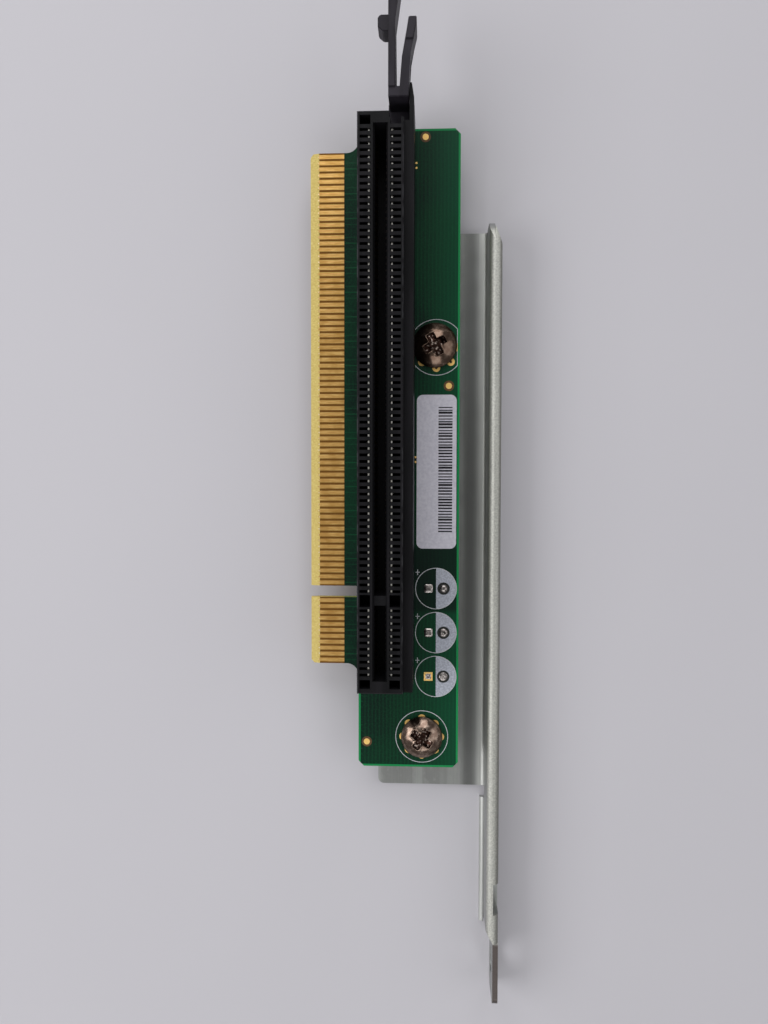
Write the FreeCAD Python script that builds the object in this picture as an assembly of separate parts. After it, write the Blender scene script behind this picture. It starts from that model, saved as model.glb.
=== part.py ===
import FreeCAD, Part
import math
import os

# Riser card: a narrow circuit board whose gold edge plugs into a sixteen-lane
# socket, a sixteen-lane card slot soldered to its face, a plastic retention latch at
# the end of the slot, and a folded steel bracket that stands off behind the board.
#
# Frame, in millimetres: the origin is on the underside of the bracket's flange, below
# the middle plane of the card slot and level with the key of the connector. +X runs
# from the gold edge to the bracket's wall, +Y towards the latch, +Z out of the face
# that carries the slot.

V = FreeCAD.Vector

# Contact pattern, shared by the gold edge and the slot
PITCH = 1.0
LONG_CONTACTS = 71
SHORT_CONTACTS = 11
KEY_SPACING = 3.0            # centre to centre of the two contacts beside the key

# Circuit board
BOARD_THICKNESS = 1.6
BODY_LEFT = -4.2             # edge of the board's body on the gold-edge side
BODY_WIDTH = 16.65
LATCH_END_MARGIN = 4.25      # board beyond the last contact at the latch end
FAR_END_MARGIN = 17.95       # board beyond the last contact at the other end
TAB_REACH = 8.0              # gold edge, measured out from the body
TAB_MARGIN = 0.6             # tab beyond its outer contacts
TAB_FILLET = 2.0
TAB_CHAMFER = 0.5
BODY_CHAMFER = 0.9
KEY_NOTCH_WIDTH = 1.9
KEY_NOTCH_DEPTH = 8.4
BEVEL_LENGTH = 1.5
BEVEL_ANGLE = 20.0
COPPER = 0.05                # plating that stands proud of the board
FINGER_WIDTH = 0.72
FINGER_LENGTH = 4.1

# Screws, and the standoffs that they run into
SCREW_RAIL_GAP = 0.05        # between the upper screw's head and the slot's rail
UPPER_SCREW_Y = 40.4
LOWER_SCREW_INSET = 6.05     # from the right-hand edge of the board
LOWER_SCREW_Y = -24.3
SCREW_SHANK = 3.5
SCREW_LENGTH = 5.8
SCREW_HEAD = 7.0
SCREW_HEAD_HEIGHT = 2.1
SCREW_HEAD_RIM = 0.7
SCREW_CROWN = 4.4            # flat top of the head, just wider than the recess
CROSS_SPAN = 4.0
CROSS_WIDTH = 0.85
CROSS_DEPTH = 1.35
BOARD_HOLE = 3.9
THREAD_CLEARANCE = 0.1
THREAD_SIDES = 12            # plain stand-in for the thread, on the screw and in the bore
STANDOFF_HEIGHT = 4.0
STANDOFF_FLATS = 6.0
STANDOFF_ROOT = 5.2          # across the flats, where it is clinched into the sheet
ROOT_CLEARANCE = 0.1
LAND_RADIUS = 3.4
LAND_LOBES = 8
LOBE_CIRCLE = 3.55
LOBE_RADIUS = 0.6
LAND_SIDES = 16
DOT_SIDES = 12               # lobes, alignment dots and lead lands

# Bare solder lands of the three capacitors that are not fitted, and the label
CAPACITORS = 3
CAPACITOR_INSET = 3.75       # from the right-hand edge of the board
CAPACITOR_FIRST_Y = 0.6
CAPACITOR_SPACING = 7.37
LEAD_SPACING = 2.5
SQUARE_LAND = 1.45
ROUND_LAND = 0.7
LATCH_DOT = (1.68, 1.3)      # from the slot's rail and the end of the board by the latch
MIDDLE_DOT = (1.77, 6.3)     # from the right-hand edge and the upper screw
FAR_DOT = (1.39, 4.15)       # from the left-hand edge and the far end of the board
DOT_RADIUS = 0.52
CHIP_LAND_OFFSET = 0.19      # from the slot's rail
UPPER_CHIP_SETBACK = 5.85    # from the end of the board by the latch
LOWER_CHIP_Y = 22.0
CHIP_LAND_SIZE = 0.3
CHIP_LAND_GAP = 0.5
LABEL_RAIL_GAP = 0.375
LABEL_SCREW_GAP = 7.75       # from the middle of the upper screw
LABEL_WIDTH = 6.55
LABEL_LENGTH = 25.4
LABEL_THICKNESS = 0.1
LABEL_CORNER = 1.0

# Slot housing
HOUSING_WIDTH = 7.1
HOUSING_HEIGHT = 11.25
HOUSING_LATCH_END = 2.8      # housing beyond the last contact at the latch end
HOUSING_FAR_END = 2.95
HOUSING_CHAMFER = 0.2
RAIL_WIDTH = 1.5
RAIL_DROP = 1.35             # top of the side rail below the top of the housing
CHANNEL_WIDTH = 1.8
CHANNEL_DEPTH = 8.9
CHANNEL_MARGIN = 1.0         # channel beyond its outer contacts
MOUTH_WIDTH = 2.3
MOUTH_DEPTH = 0.6
KEY_RIB_WIDTH = 1.5
KEY_RIB_DROP = 0.5
CAVITY_WIDTH = 0.45
CAVITY_INNER = 1.5           # from the middle plane, behind the lead-in rib
CAVITY_OUTER = 3.15
LEAD_RIB_HEIGHT = 0.95
POCKET_LENGTH = 1.4
KEY_POCKET_LENGTH = 1.9
POCKET_DEPTH = 7.0
PEG_ACROSS = 2.3             # across the corners
PEG_SIDES = 8
PEG_LENGTH = 1.3
PEG_CLEARANCE = 0.1
LATCH_PEG_SETBACK = 1.3      # from the latch end of the housing

# Spring contacts of the slot and their solder joints
STRIP_THICKNESS = 0.22
STRIP_WIDTH = 0.34
KNEE_X = 0.62
KNEE_HEIGHT = 6.6
TIP_X = 1.66
TIP_DROP = 0.4
FOOT_X = 1.9
INNER_TAIL_X = 1.35
OUTER_TAIL_X = 2.75
JOINT_BASE = 0.8
JOINT_HEIGHT = 1.0

# Latch bay of the housing, and the latch that stands in it
BAY_LEFT = 1.3
BAY_DEPTH_IN_HOUSING = 1.0
EAR_THICKNESS = 0.7
EAR_REACH = 4.6              # ear beyond the end of the housing
EAR_TIP_TAPER = 2.2
SHELF_HEIGHT = 2.5
SHELF_REACH = 3.5
LATCH_CLEARANCE = 0.05
FOOT_HEIGHT = 2.6
STEM_OFFSET = 2.15           # near face of the stem from the end of the housing
STEM_THICKNESS = 1.3
PRONG_HEIGHT = 5.0
HOOK_ARM_WIDTH = 1.2
HOOK_ARM_LENGTH = 16.2
HOOK_ARM_TIP_WIDTH = 2.2
GRIP_START = 7.6
HOOK_REACH = 1.75
HOOK_START = 6.35
HOOK_LENGTH = 4.45
HOOK_CHAMFER = 0.9
HOOK_HEIGHT = 3.6
PRONG_GAP = 0.6
LEVER_WIDTH = 1.45
LEVER_LENGTH = 10.5
LEVER_LEAN = 1.15

# Folded steel bracket
SHEET = 0.9
BEND_RADIUS = 0.6
FLANGE_INSET = 3.0           # from the left-hand edge of the board
FLANGE_CORNER = 1.0
FLANGE_TOP = 60.3
FLANGE_BOTTOM = -34.3
WALL_GAP = 4.7               # between the board and the wall
WALL_HEIGHT = 8.9
WALL_TOP = 60.6
WALL_BOTTOM = -58.3
HEM_GAP = 0.25
HEM_START = 59.4
HEM_SLOPE_LENGTH = 2.8
TIP_RADIUS = 3.6
LIP_START = -36.4
LIP_REACH = 0.15
NOTCH_TOP = -48.2
NOTCH_LENGTH = 5.2
NOTCH_DEPTH = 3.0
LEAF_END_SLOPE = 2.0
TONGUE_LENGTH = 11.0
TONGUE_HEIGHT = 8.2
TONGUE_CORNER = 1.5
TONGUE_HOLE = 4.0
TONGUE_HOLE_SETBACK = 5.6    # from the free end of the tongue
TONGUE_HOLE_HEIGHT = 3.6

# Levels and lines that follow from the sizes above
FLANGE_UPPER_FACE = SHEET
BOARD_UNDERSIDE = FLANGE_UPPER_FACE + STANDOFF_HEIGHT
BOARD_TOP = BOARD_UNDERSIDE + BOARD_THICKNESS
BODY_RIGHT = BODY_LEFT + BODY_WIDTH
TAB_TIP = BODY_LEFT - TAB_REACH
FLANGE_LEFT = BODY_LEFT + FLANGE_INSET
WALL_FACE = BODY_RIGHT + WALL_GAP
FIRST_CONTACT = KEY_SPACING / 2
LAST_LONG = FIRST_CONTACT + (LONG_CONTACTS - 1) * PITCH
LAST_SHORT = -FIRST_CONTACT - (SHORT_CONTACTS - 1) * PITCH
BODY_END = LAST_LONG + LATCH_END_MARGIN
BODY_START = LAST_SHORT - FAR_END_MARGIN
HOUSING_TOP = BOARD_TOP + HOUSING_HEIGHT
CHANNEL_FLOOR = HOUSING_TOP - CHANNEL_DEPTH
HOUSING_END = LAST_LONG + HOUSING_LATCH_END
HOUSING_START = LAST_SHORT - HOUSING_FAR_END
RAIL_RIGHT = HOUSING_WIDTH / 2 + RAIL_WIDTH
RAIL_TOP = HOUSING_TOP - RAIL_DROP
BAY_RIGHT = RAIL_RIGHT - EAR_THICKNESS
BAY_START = HOUSING_END - BAY_DEPTH_IN_HOUSING
SHELF_TOP = BOARD_TOP + SHELF_HEIGHT
UPPER_SCREW = (RAIL_RIGHT + SCREW_RAIL_GAP + SCREW_HEAD / 2, UPPER_SCREW_Y)
LOWER_SCREW = (BODY_RIGHT - LOWER_SCREW_INSET, LOWER_SCREW_Y)
WALL_OUTER = WALL_FACE + SHEET
HEM_OUTER = WALL_OUTER + HEM_GAP + SHEET


def long_contact_places():
    """Y of each contact on the long side of the key."""
    return [FIRST_CONTACT + i * PITCH for i in range(LONG_CONTACTS)]


def short_contact_places():
    """Y of each contact on the short side of the key."""
    return [-FIRST_CONTACT - i * PITCH for i in range(SHORT_CONTACTS)]


def block(x0, x1, y0, y1, z0, z1):
    """Straight block between two opposite corners."""
    return Part.makeBox(x1 - x0, y1 - y0, z1 - z0, V(x0, y0, z0))


def prism(points, sweep):
    """Closed outline of straight edges, swept along a vector."""
    outline = Part.makePolygon(points + points[:1])
    return Part.Face(outline).extrude(sweep)


def peg(x, y, z0, z1, diameter):
    """Upright cylinder between two levels."""
    return Part.makeCylinder(diameter / 2, z1 - z0, V(x, y, z0))


def bar(x, y, z0, z1, across, sides):
    """Upright bar with equal sides, measured across its corners."""
    turns = [2 * math.pi * i / sides for i in range(sides)]
    ring = [V(x + across / 2 * math.cos(turn), y + across / 2 * math.sin(turn), z0)
            for turn in turns]
    return prism(ring, V(0, 0, z1 - z0))


def hexagon(x, y, z0, z1, flats):
    """Upright hexagonal bar, measured across its flats."""
    return bar(x, y, z0, z1, 2 * flats / math.sqrt(3), 6)


def upright_edges(shape, places):
    """Edges parallel to Z that stand at the given XY places."""
    found = []
    for edge in shape.Edges:
        ends = [vertex.Point for vertex in edge.Vertexes]
        if len(ends) == 2 and (ends[0] - ends[1]).cross(V(0, 0, 1)).Length < 1e-6:
            if any(abs(ends[0].x - x) + abs(ends[0].y - y) < 1e-4 for x, y in places):
                found.append(edge)
    return found


def circuit_board():
    """Fibreglass board: body, keyed and bevelled tab, screw and peg holes."""
    z0, z1 = BOARD_UNDERSIDE, BOARD_TOP
    tab_end = LAST_LONG + TAB_MARGIN
    tab_start = LAST_SHORT - TAB_MARGIN
    board = block(BODY_LEFT, BODY_RIGHT, BODY_START, BODY_END, z0, z1)
    board = board.fuse(block(TAB_TIP, BODY_LEFT, tab_start, tab_end, z0, z1)).removeSplitter()
    roots = [(BODY_LEFT, tab_start), (BODY_LEFT, tab_end)]
    board = board.makeFillet(TAB_FILLET, upright_edges(board, roots))
    tips = [(TAB_TIP, tab_start), (TAB_TIP, tab_end)]
    board = board.makeChamfer(TAB_CHAMFER, upright_edges(board, tips))
    corners = [(BODY_RIGHT, BODY_START), (BODY_RIGHT, BODY_END), (BODY_LEFT, BODY_START)]
    board = board.makeChamfer(BODY_CHAMFER, upright_edges(board, corners))

    notch_root = TAB_TIP + KEY_NOTCH_DEPTH - KEY_NOTCH_WIDTH / 2
    half_notch = KEY_NOTCH_WIDTH / 2
    cuts = [block(TAB_TIP - 1, notch_root, -half_notch, half_notch, z0, z1)]
    cuts.append(peg(notch_root, 0, z0, z1, KEY_NOTCH_WIDTH))
    for x, y in (UPPER_SCREW, LOWER_SCREW):
        cuts.append(peg(x, y, z0, z1, BOARD_HOLE))
    for y in (0, HOUSING_END - LATCH_PEG_SETBACK):
        cuts.append(peg(0, y, z0, z1, PEG_ACROSS + 2 * PEG_CLEARANCE))

    drop = BEVEL_LENGTH * math.tan(math.radians(BEVEL_ANGLE))
    length = V(0, tab_end - tab_start, 0)
    for level, slope in ((z1, -drop), (z0, drop)):
        cuts.append(prism([V(TAB_TIP, tab_start, level), V(TAB_TIP, tab_start, level + slope),
                           V(TAB_TIP + BEVEL_LENGTH, tab_start, level)], length))
    return board.cut(cuts)


def edge_fingers(places, level):
    """Row of gold contact fingers; level is the underside of the plating."""
    x0 = TAB_TIP + BEVEL_LENGTH
    fingers = []
    for y in places:
        fingers.append(block(x0, x0 + FINGER_LENGTH, y - FINGER_WIDTH / 2,
                             y + FINGER_WIDTH / 2, level, level + COPPER))
    return Part.makeCompound(fingers)


def capacitor_leads():
    """XY places of the positive and of the negative leads of the capacitors."""
    x = BODY_RIGHT - CAPACITOR_INSET
    rows = [CAPACITOR_FIRST_Y - row * CAPACITOR_SPACING for row in range(CAPACITORS)]
    return [[(x + side * LEAD_SPACING / 2, y) for y in rows] for side in (-1, 1)]


def square_lands():
    """Square solder lands, one for the positive lead of each capacitor."""
    half = SQUARE_LAND / 2
    return Part.makeCompound([block(x - half, x + half, y - half, y + half, BOARD_TOP,
                                    BOARD_TOP + COPPER) for x, y in capacitor_leads()[0]])


def round_lands():
    """Round solder lands, one for the negative lead of each capacitor."""
    return Part.makeCompound([bar(x, y, BOARD_TOP, BOARD_TOP + COPPER, 2 * ROUND_LAND, DOT_SIDES)
                              for x, y in capacitor_leads()[1]])


def fiducial_dots():
    """Round alignment dots of bare plated copper."""
    places = [(RAIL_RIGHT + LATCH_DOT[0], BODY_END - LATCH_DOT[1]),
              (BODY_RIGHT - MIDDLE_DOT[0], UPPER_SCREW_Y - MIDDLE_DOT[1]),
              (BODY_LEFT + FAR_DOT[0], BODY_START + FAR_DOT[1])]
    return Part.makeCompound([bar(x, y, BOARD_TOP, BOARD_TOP + COPPER, 2 * DOT_RADIUS, DOT_SIDES)
                              for x, y in places])


def chip_lands():
    """Pairs of small lands for chip parts that are not fitted."""
    half = CHIP_LAND_SIZE / 2
    x = RAIL_RIGHT + CHIP_LAND_OFFSET
    lands = []
    for y in (BODY_END - UPPER_CHIP_SETBACK, LOWER_CHIP_Y):
        for side in (-1, 1):
            middle = y + side * (CHIP_LAND_GAP + CHIP_LAND_SIZE) / 2
            lands.append(block(x - half, x + half, middle - half, middle + half,
                               BOARD_TOP, BOARD_TOP + COPPER))
    return Part.makeCompound(lands)


def screw_land(place):
    """Plated ring under a screw head, with round lobes, clear of the slot's rail."""
    x, y = place
    top = BOARD_TOP + COPPER
    land = bar(x, y, BOARD_TOP, top, 2 * LAND_RADIUS, LAND_SIDES)
    hole = bar(x, y, BOARD_TOP, top, BOARD_HOLE, LAND_SIDES)
    lobes = []
    for i in range(LAND_LOBES):
        turn = 2 * math.pi * i / LAND_LOBES
        lobes.append(bar(x + LOBE_CIRCLE * math.cos(turn), y + LOBE_CIRCLE * math.sin(turn),
                         BOARD_TOP, top, 2 * LOBE_RADIUS, DOT_SIDES))
    reach = LOBE_CIRCLE + LOBE_RADIUS
    under_rail = block(x - 2 * reach, RAIL_RIGHT, y - reach, y + reach, BOARD_TOP, top)
    return land.fuse(lobes).removeSplitter().cut([hole, under_rail])


def label():
    """Paper label with round corners."""
    x0 = RAIL_RIGHT + LABEL_RAIL_GAP
    x1 = x0 + LABEL_WIDTH
    y1 = UPPER_SCREW_Y - LABEL_SCREW_GAP
    y0 = y1 - LABEL_LENGTH
    sheet = block(x0, x1, y0, y1, BOARD_TOP, BOARD_TOP + LABEL_THICKNESS)
    corners = [(x0, y0), (x0, y1), (x1, y0), (x1, y1)]
    return sheet.makeFillet(LABEL_CORNER, upright_edges(sheet, corners))


def board_screw(place):
    """Pan-head screw with a cross recess, seated on its plated land."""
    x, y = place
    seat = BOARD_TOP + COPPER
    top = seat + SCREW_HEAD_HEIGHT
    section = [(0, 0), (SCREW_HEAD / 2, 0), (SCREW_HEAD / 2, SCREW_HEAD_RIM),
               (SCREW_CROWN / 2, SCREW_HEAD_HEIGHT), (0, SCREW_HEAD_HEIGHT)]
    points = [V(r, 0, seat + z) for r, z in section]
    outline = Part.makePolygon(points + points[:1])
    head = Part.Face(outline).revolve(V(0, 0, 0), V(0, 0, 1), 360)
    screw = head.fuse(bar(0, 0, seat - SCREW_LENGTH, seat, SCREW_SHANK, THREAD_SIDES))

    wide, narrow = CROSS_SPAN / 2, CROSS_SPAN / 4
    half = CROSS_WIDTH / 2
    for turn in (45, 135):
        arm = prism([V(-wide, -half, top), V(wide, -half, top), V(narrow, -half, top - CROSS_DEPTH),
                     V(-narrow, -half, top - CROSS_DEPTH)], V(0, CROSS_WIDTH, 0))
        arm.rotate(V(0, 0, 0), V(0, 0, 1), turn)
        screw = screw.cut(arm)
    screw.translate(V(x, y, 0))
    return screw


def standoff(place):
    """Hexagonal standoff, clinched into the flange and bored for the screw."""
    x, y = place
    pillar = hexagon(x, y, FLANGE_UPPER_FACE, BOARD_UNDERSIDE, STANDOFF_FLATS)
    pillar = pillar.fuse(hexagon(x, y, 0, FLANGE_UPPER_FACE, STANDOFF_ROOT))
    bore = SCREW_SHANK + THREAD_CLEARANCE
    return pillar.cut(bar(x, y, 0, BOARD_UNDERSIDE, bore, THREAD_SIDES)).removeSplitter()


def channel_cuts():
    """Card channel either side of the key rib, with its flared mouth."""
    half = CHANNEL_WIDTH / 2
    floor = CHANNEL_FLOOR
    far = LAST_SHORT - CHANNEL_MARGIN
    near = LAST_LONG + CHANNEL_MARGIN
    rib = KEY_RIB_WIDTH / 2
    cuts = [block(-half, half, rib, near, floor, HOUSING_TOP)]
    cuts.append(block(-half, half, far, -rib, floor, HOUSING_TOP))
    cuts.append(block(-half, half, -rib, rib, HOUSING_TOP - KEY_RIB_DROP, HOUSING_TOP))
    mouth = MOUTH_WIDTH / 2
    cuts.append(prism([V(-mouth, far, HOUSING_TOP), V(mouth, far, HOUSING_TOP),
                       V(half, far, HOUSING_TOP - MOUTH_DEPTH),
                       V(-half, far, HOUSING_TOP - MOUTH_DEPTH)], V(0, near - far, 0)))
    return cuts


def cavity_cut(side, y):
    """Pit for one contact: open at the top, and into the channel under the rib."""
    y0 = y - CAVITY_WIDTH / 2
    under = HOUSING_TOP - LEAD_RIB_HEIGHT
    section = [(CAVITY_OUTER, CHANNEL_FLOOR), (CAVITY_OUTER, HOUSING_TOP),
               (CAVITY_INNER, HOUSING_TOP), (CAVITY_INNER, under), (0, under), (0, CHANNEL_FLOOR)]
    return prism([V(side * x, y0, z) for x, z in section], V(0, CAVITY_WIDTH, 0))


def pocket_cuts():
    """Blind core pockets at the key and at both ends of the contact rows."""
    cuts = []
    z0 = HOUSING_TOP - POCKET_DEPTH
    end_gap = (PITCH - CAVITY_WIDTH) / 2 + PITCH / 2
    half_key = KEY_POCKET_LENGTH / 2
    far = LAST_SHORT - end_gap
    near = LAST_LONG + end_gap
    for side in (-1, 1):
        x0, x1 = sorted((side * CAVITY_INNER, side * CAVITY_OUTER))
        cuts.append(block(x0, x1, -half_key, half_key, z0, HOUSING_TOP))
        cuts.append(block(x0, x1, far - POCKET_LENGTH, far, z0, HOUSING_TOP))
        if side < 0:
            cuts.append(block(x0, x1, near, near + POCKET_LENGTH, z0, HOUSING_TOP))
    cuts.append(block(CAVITY_INNER, CAVITY_OUTER, near, HOUSING_END, z0, HOUSING_TOP))
    return cuts


def slot_housing():
    """Moulded slot body with side rail, latch bay, channel and contact cavities."""
    half = HOUSING_WIDTH / 2
    body = block(-half, half, HOUSING_START, HOUSING_END, BOARD_TOP, HOUSING_TOP)
    rims = [edge for edge in body.Edges
            if all(abs(vertex.Z - HOUSING_TOP) < 1e-6 for vertex in edge.Vertexes)]
    body = body.makeChamfer(HOUSING_CHAMFER, rims)
    rail = block(half, RAIL_RIGHT, HOUSING_START, HOUSING_END, BOARD_TOP, RAIL_TOP)
    ear_end = HOUSING_END + EAR_REACH
    ear = prism([V(BAY_RIGHT, HOUSING_END, BOARD_TOP), V(RAIL_RIGHT, HOUSING_END, BOARD_TOP),
                 V(RAIL_RIGHT, ear_end - EAR_TIP_TAPER, BOARD_TOP),
                 V(RAIL_RIGHT - EAR_THICKNESS / 2, ear_end, BOARD_TOP), V(BAY_RIGHT, ear_end, BOARD_TOP)],
                V(0, 0, RAIL_TOP - BOARD_TOP))
    shelf = block(BAY_LEFT, BAY_RIGHT, HOUSING_END, HOUSING_END + SHELF_REACH, BOARD_TOP, SHELF_TOP)
    pegs = [bar(0, y, BOARD_TOP - PEG_LENGTH, BOARD_TOP, PEG_ACROSS, PEG_SIDES)
            for y in (0, HOUSING_END - LATCH_PEG_SETBACK)]
    housing = body.fuse([rail, ear, shelf] + pegs).removeSplitter()

    cuts = channel_cuts() + pocket_cuts()
    cuts.append(block(BAY_LEFT, BAY_RIGHT, BAY_START, HOUSING_END, SHELF_TOP, HOUSING_TOP))
    for y in long_contact_places() + short_contact_places():
        cuts.append(cavity_cut(-1, y))
        cuts.append(cavity_cut(1, y))
    return housing.cut(cuts).removeSplitter()


def slot_contacts(side, places):
    """Row of spring strips, tapered to the foot, that lean through the channel wall."""
    t = STRIP_THICKNESS
    tip = HOUSING_TOP - TIP_DROP
    knee = BOARD_TOP + KNEE_HEIGHT
    strips = []
    for y in places:
        section = [(FOOT_X, CHANNEL_FLOOR), (KNEE_X + t, knee), (TIP_X + t, tip), (TIP_X, tip),
                   (KNEE_X, knee)]
        strips.append(prism([V(side * x, y - STRIP_WIDTH / 2, z) for x, z in section],
                            V(0, STRIP_WIDTH, 0)))
    return Part.makeCompound(strips)


def solder_joints(side):
    """Pointed solder joints of one row, staggered, on the back of the board."""
    half = JOINT_BASE / 2
    joints = []
    for places in (long_contact_places(), short_contact_places()):
        for i, y in enumerate(places):
            x = side * ((INNER_TAIL_X, OUTER_TAIL_X)[i % 2] + STRIP_THICKNESS / 2)
            base = [V(x + half * dx, y + half * dy, BOARD_UNDERSIDE)
                    for dx, dy in ((-1, 0), (0, -1), (1, 0), (0, 1))]
            tip = V(x, y, BOARD_UNDERSIDE - JOINT_HEIGHT)
            sides = [(base[n - 1], base[n], tip) for n in range(len(base))]
            faces = [Part.Face(Part.makePolygon(list(loop) + [loop[0]])) for loop in [base] + sides]
            joints.append(Part.makeSolid(Part.makeShell(faces)))
    return Part.makeCompound(joints)


def retention_latch():
    """One-piece fork: foot and stem in the bay, hooked arm, and leaning lever."""
    c = LATCH_CLEARANCE
    left, right = BAY_LEFT, BAY_RIGHT - c
    stem_y = HOUSING_END + STEM_OFFSET
    root = stem_y + STEM_THICKNESS
    z0, top = SHELF_TOP, HOUSING_TOP
    prong_z = top - PRONG_HEIGHT
    foot = block(left + c, right, BAY_START + c, root, z0, z0 + FOOT_HEIGHT)
    stem = block(left, right, stem_y, root, z0, top)

    arm_right = left + HOOK_ARM_WIDTH
    arm_end = root + HOOK_ARM_LENGTH
    grip_y = root + GRIP_START
    arm = prism([V(left, root, prong_z), V(arm_right, root, prong_z), V(arm_right, grip_y, prong_z),
                 V(left + HOOK_ARM_TIP_WIDTH, arm_end, prong_z), V(left, arm_end, prong_z)],
                V(0, 0, PRONG_HEIGHT))
    h0 = root + HOOK_START
    h1 = h0 + HOOK_LENGTH
    tip = left - HOOK_REACH
    cut = HOOK_CHAMFER
    hook = prism([V(left, h0, 0), V(tip + cut, h0 + 0.15, 0), V(tip, h0 + 1.1 * cut, 0),
                  V(tip, h1 - cut / 2, 0), V(tip + cut / 2, h1, 0), V(left, h1, 0)], V(0, 0, HOOK_HEIGHT))
    hook.translate(V(0, 0, top - HOOK_HEIGHT - 0.4))

    lever_left = arm_right + PRONG_GAP
    lever_end = root + LEVER_LENGTH
    bend = root + LEVER_LENGTH * 0.3
    lean = LEVER_LEAN
    lever = prism([V(lever_left, root, prong_z), V(right, root, prong_z),
                   V(right + 0.05 * lean, bend, prong_z), V(right + lean, lever_end, prong_z),
                   V(lever_left + lean, lever_end, prong_z), V(lever_left + 0.05 * lean, bend, prong_z)],
                  V(0, 0, PRONG_HEIGHT))
    return foot.fuse([stem, arm, hook, lever]).removeSplitter()


def sheet_wire(y, flange_edge):
    """Section of the folded sheet at one Y: flange, wall, closed hem, outer leaf."""
    r_in, r_out = BEND_RADIUS, BEND_RADIUS + SHEET
    bend_x = WALL_FACE - r_in
    hem_r = (HEM_OUTER - WALL_FACE) / 2
    hem_x = WALL_FACE + hem_r
    hem_z = WALL_HEIGHT - hem_r
    leaf = WALL_OUTER + HEM_GAP
    slant = math.sqrt(0.5)

    def at(x, z):
        return V(x, y, z)

    def line(a, b):
        return Part.makeLine(a, b)

    def arc(a, middle, b):
        return Part.Arc(a, middle, b).toShape()

    edges = [
        line(at(flange_edge, 0), at(bend_x, 0)),
        arc(at(bend_x, 0), at(bend_x + r_out * slant, r_out - r_out * slant), at(WALL_OUTER, r_out)),
        line(at(WALL_OUTER, r_out), at(WALL_OUTER, hem_z)),
        line(at(WALL_OUTER, hem_z), at(leaf, hem_z)),
        line(at(leaf, hem_z), at(leaf, 0)),
        line(at(leaf, 0), at(HEM_OUTER, 0)),
        line(at(HEM_OUTER, 0), at(HEM_OUTER, hem_z)),
        arc(at(HEM_OUTER, hem_z), at(hem_x, WALL_HEIGHT), at(WALL_FACE, hem_z)),
        line(at(WALL_FACE, hem_z), at(WALL_FACE, r_out)),
        arc(at(WALL_FACE, r_out), at(bend_x + r_in * slant, r_out - r_in * slant), at(bend_x, SHEET)),
        line(at(bend_x, SHEET), at(flange_edge, SHEET)),
        line(at(flange_edge, SHEET), at(flange_edge, 0)),
    ]
    return Part.Wire(edges)


def riser_bracket():
    """One folded sheet: flange, doubled wall with a hemmed top, lip and tongue."""
    leaf = WALL_OUTER + HEM_GAP
    bend = BEND_RADIUS + SHEET
    length = V(0, WALL_TOP - WALL_BOTTOM, 0)
    sheet = Part.Face(sheet_wire(WALL_BOTTOM, FLANGE_LEFT)).extrude(length)
    lip_edge = WALL_FACE - BEND_RADIUS - LIP_REACH
    cuts = [block(FLANGE_LEFT, lip_edge, WALL_BOTTOM, FLANGE_BOTTOM, 0, SHEET)]
    cuts.append(block(FLANGE_LEFT, WALL_OUTER, LIP_START, FLANGE_BOTTOM, 0, bend))
    cuts.append(block(FLANGE_LEFT, WALL_OUTER, FLANGE_TOP, WALL_TOP, 0, bend))
    hem_end = HEM_START - HEM_SLOPE_LENGTH
    cuts.append(prism([V(WALL_OUTER, HEM_START, 0), V(HEM_OUTER, hem_end, 0),
                       V(HEM_OUTER, WALL_TOP, 0), V(WALL_OUTER, WALL_TOP, 0)], V(0, 0, WALL_HEIGHT)))
    corner = block(WALL_FACE, WALL_OUTER, WALL_TOP - TIP_RADIUS, WALL_TOP,
                   WALL_HEIGHT - TIP_RADIUS, WALL_HEIGHT)
    round_tip = Part.makeCylinder(TIP_RADIUS, SHEET, V(WALL_FACE, WALL_TOP - TIP_RADIUS,
                                                       WALL_HEIGHT - TIP_RADIUS), V(1, 0, 0))
    cuts.append(corner.cut(round_tip))
    cuts.append(block(leaf, HEM_OUTER, NOTCH_TOP - NOTCH_LENGTH, NOTCH_TOP,
                      WALL_HEIGHT - NOTCH_DEPTH, WALL_HEIGHT))
    cuts.append(prism([V(WALL_FACE, WALL_BOTTOM, 0), V(WALL_FACE, WALL_BOTTOM + LEAF_END_SLOPE, 0),
                       V(leaf, WALL_BOTTOM, 0)], V(0, 0, WALL_HEIGHT)))
    for x, y in (UPPER_SCREW, LOWER_SCREW):
        cuts.append(hexagon(x, y, 0, SHEET, STANDOFF_ROOT + ROOT_CLEARANCE))
    free_corners = [(FLANGE_LEFT, FLANGE_BOTTOM), (FLANGE_LEFT, FLANGE_TOP)]

    tongue_end = WALL_BOTTOM - TONGUE_LENGTH
    tongue = block(leaf, HEM_OUTER, tongue_end, WALL_BOTTOM, 0, TONGUE_HEIGHT)
    ends = [edge for edge in tongue.Edges
            if all(abs(vertex.Y - tongue_end) < 1e-6 for vertex in edge.Vertexes)
            and abs(edge.Vertexes[0].X - edge.Vertexes[-1].X) > SHEET / 2]
    tongue = tongue.makeFillet(TONGUE_CORNER, ends)
    hole_y = tongue_end + TONGUE_HOLE_SETBACK
    hole = Part.makeCylinder(TONGUE_HOLE / 2, SHEET, V(leaf, hole_y, TONGUE_HOLE_HEIGHT), V(1, 0, 0))
    sheet = sheet.cut(cuts)
    sheet = sheet.makeFillet(FLANGE_CORNER, upright_edges(sheet, free_corners))
    return sheet.fuse(tongue).removeSplitter().cut(hole)


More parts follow.
